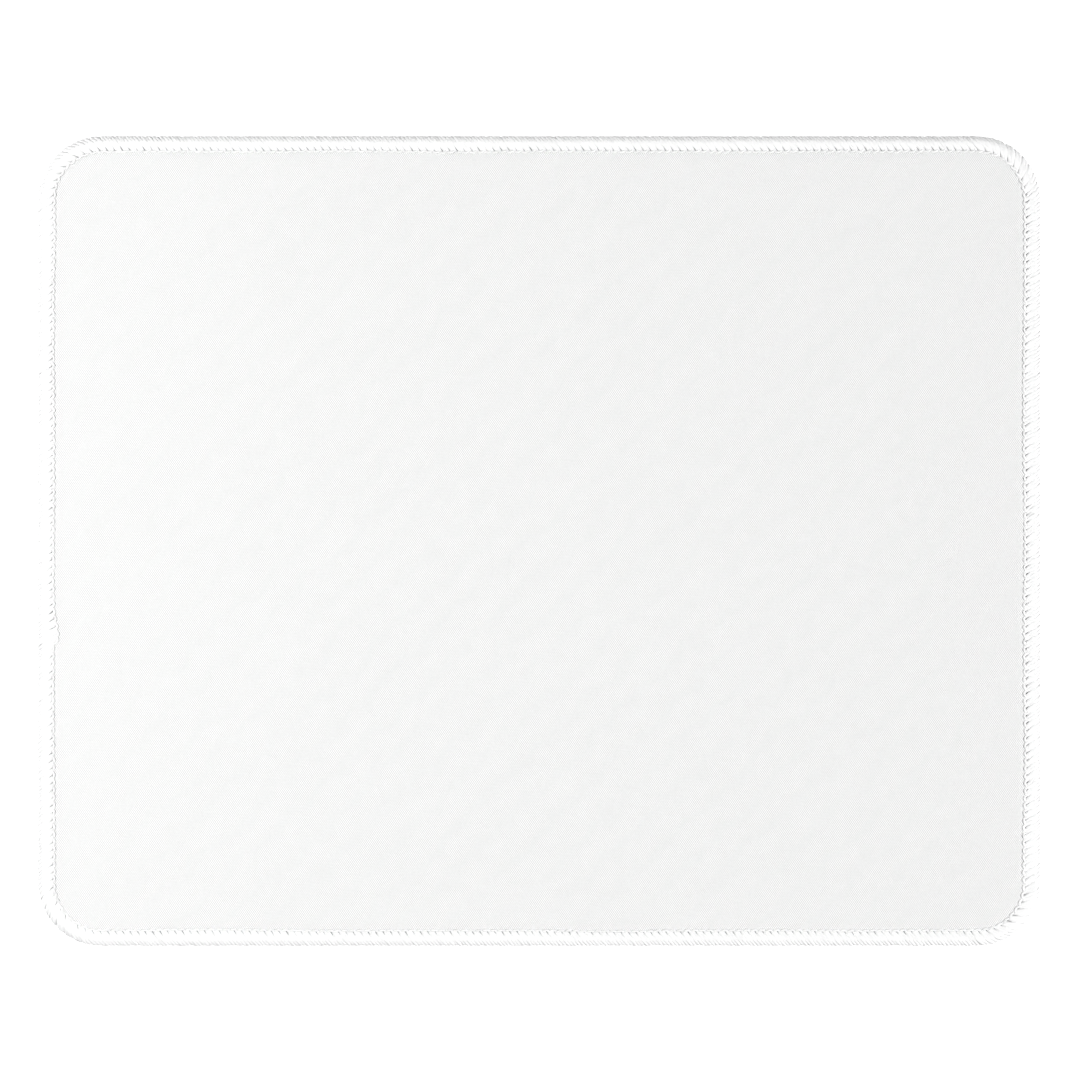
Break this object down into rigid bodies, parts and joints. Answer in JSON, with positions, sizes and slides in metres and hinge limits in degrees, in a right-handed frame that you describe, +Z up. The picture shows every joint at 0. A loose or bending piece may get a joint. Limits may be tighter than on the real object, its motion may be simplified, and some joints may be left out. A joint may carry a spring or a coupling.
{
  "type": "mouse pad",
  "caption": "Thin rectangular mouse pad with rounded corners: a white cloth face on a foam-rubber base, with an overlocked edge all round.",
  "frame": {"origin": "middle of the underside, on the desk", "axes": "+X along the width, to the user's right; +Y away from the user; +Z up, out of the cloth face"},
  "size_m": [0.26, 0.21, 0.003],
  "materials": {
    "face_cloth": "matt white polyester, fine diagonal weave",
    "bonding_film": "milky hot-melt film",
    "foam_rubber": "matt black, fine anti-slip relief underneath",
    "edge_thread": "soft white textured polyester thread"
  },
  "bodies": {
    "root": {"cloth_top": "face_cloth", "adhesive_film": "bonding_film", "rubber_base": "foam_rubber", "needle_thread": "edge_thread", "upper_looper_thread": "edge_thread", "lower_looper_thread": "edge_thread"}
  },
  "joints": []
}
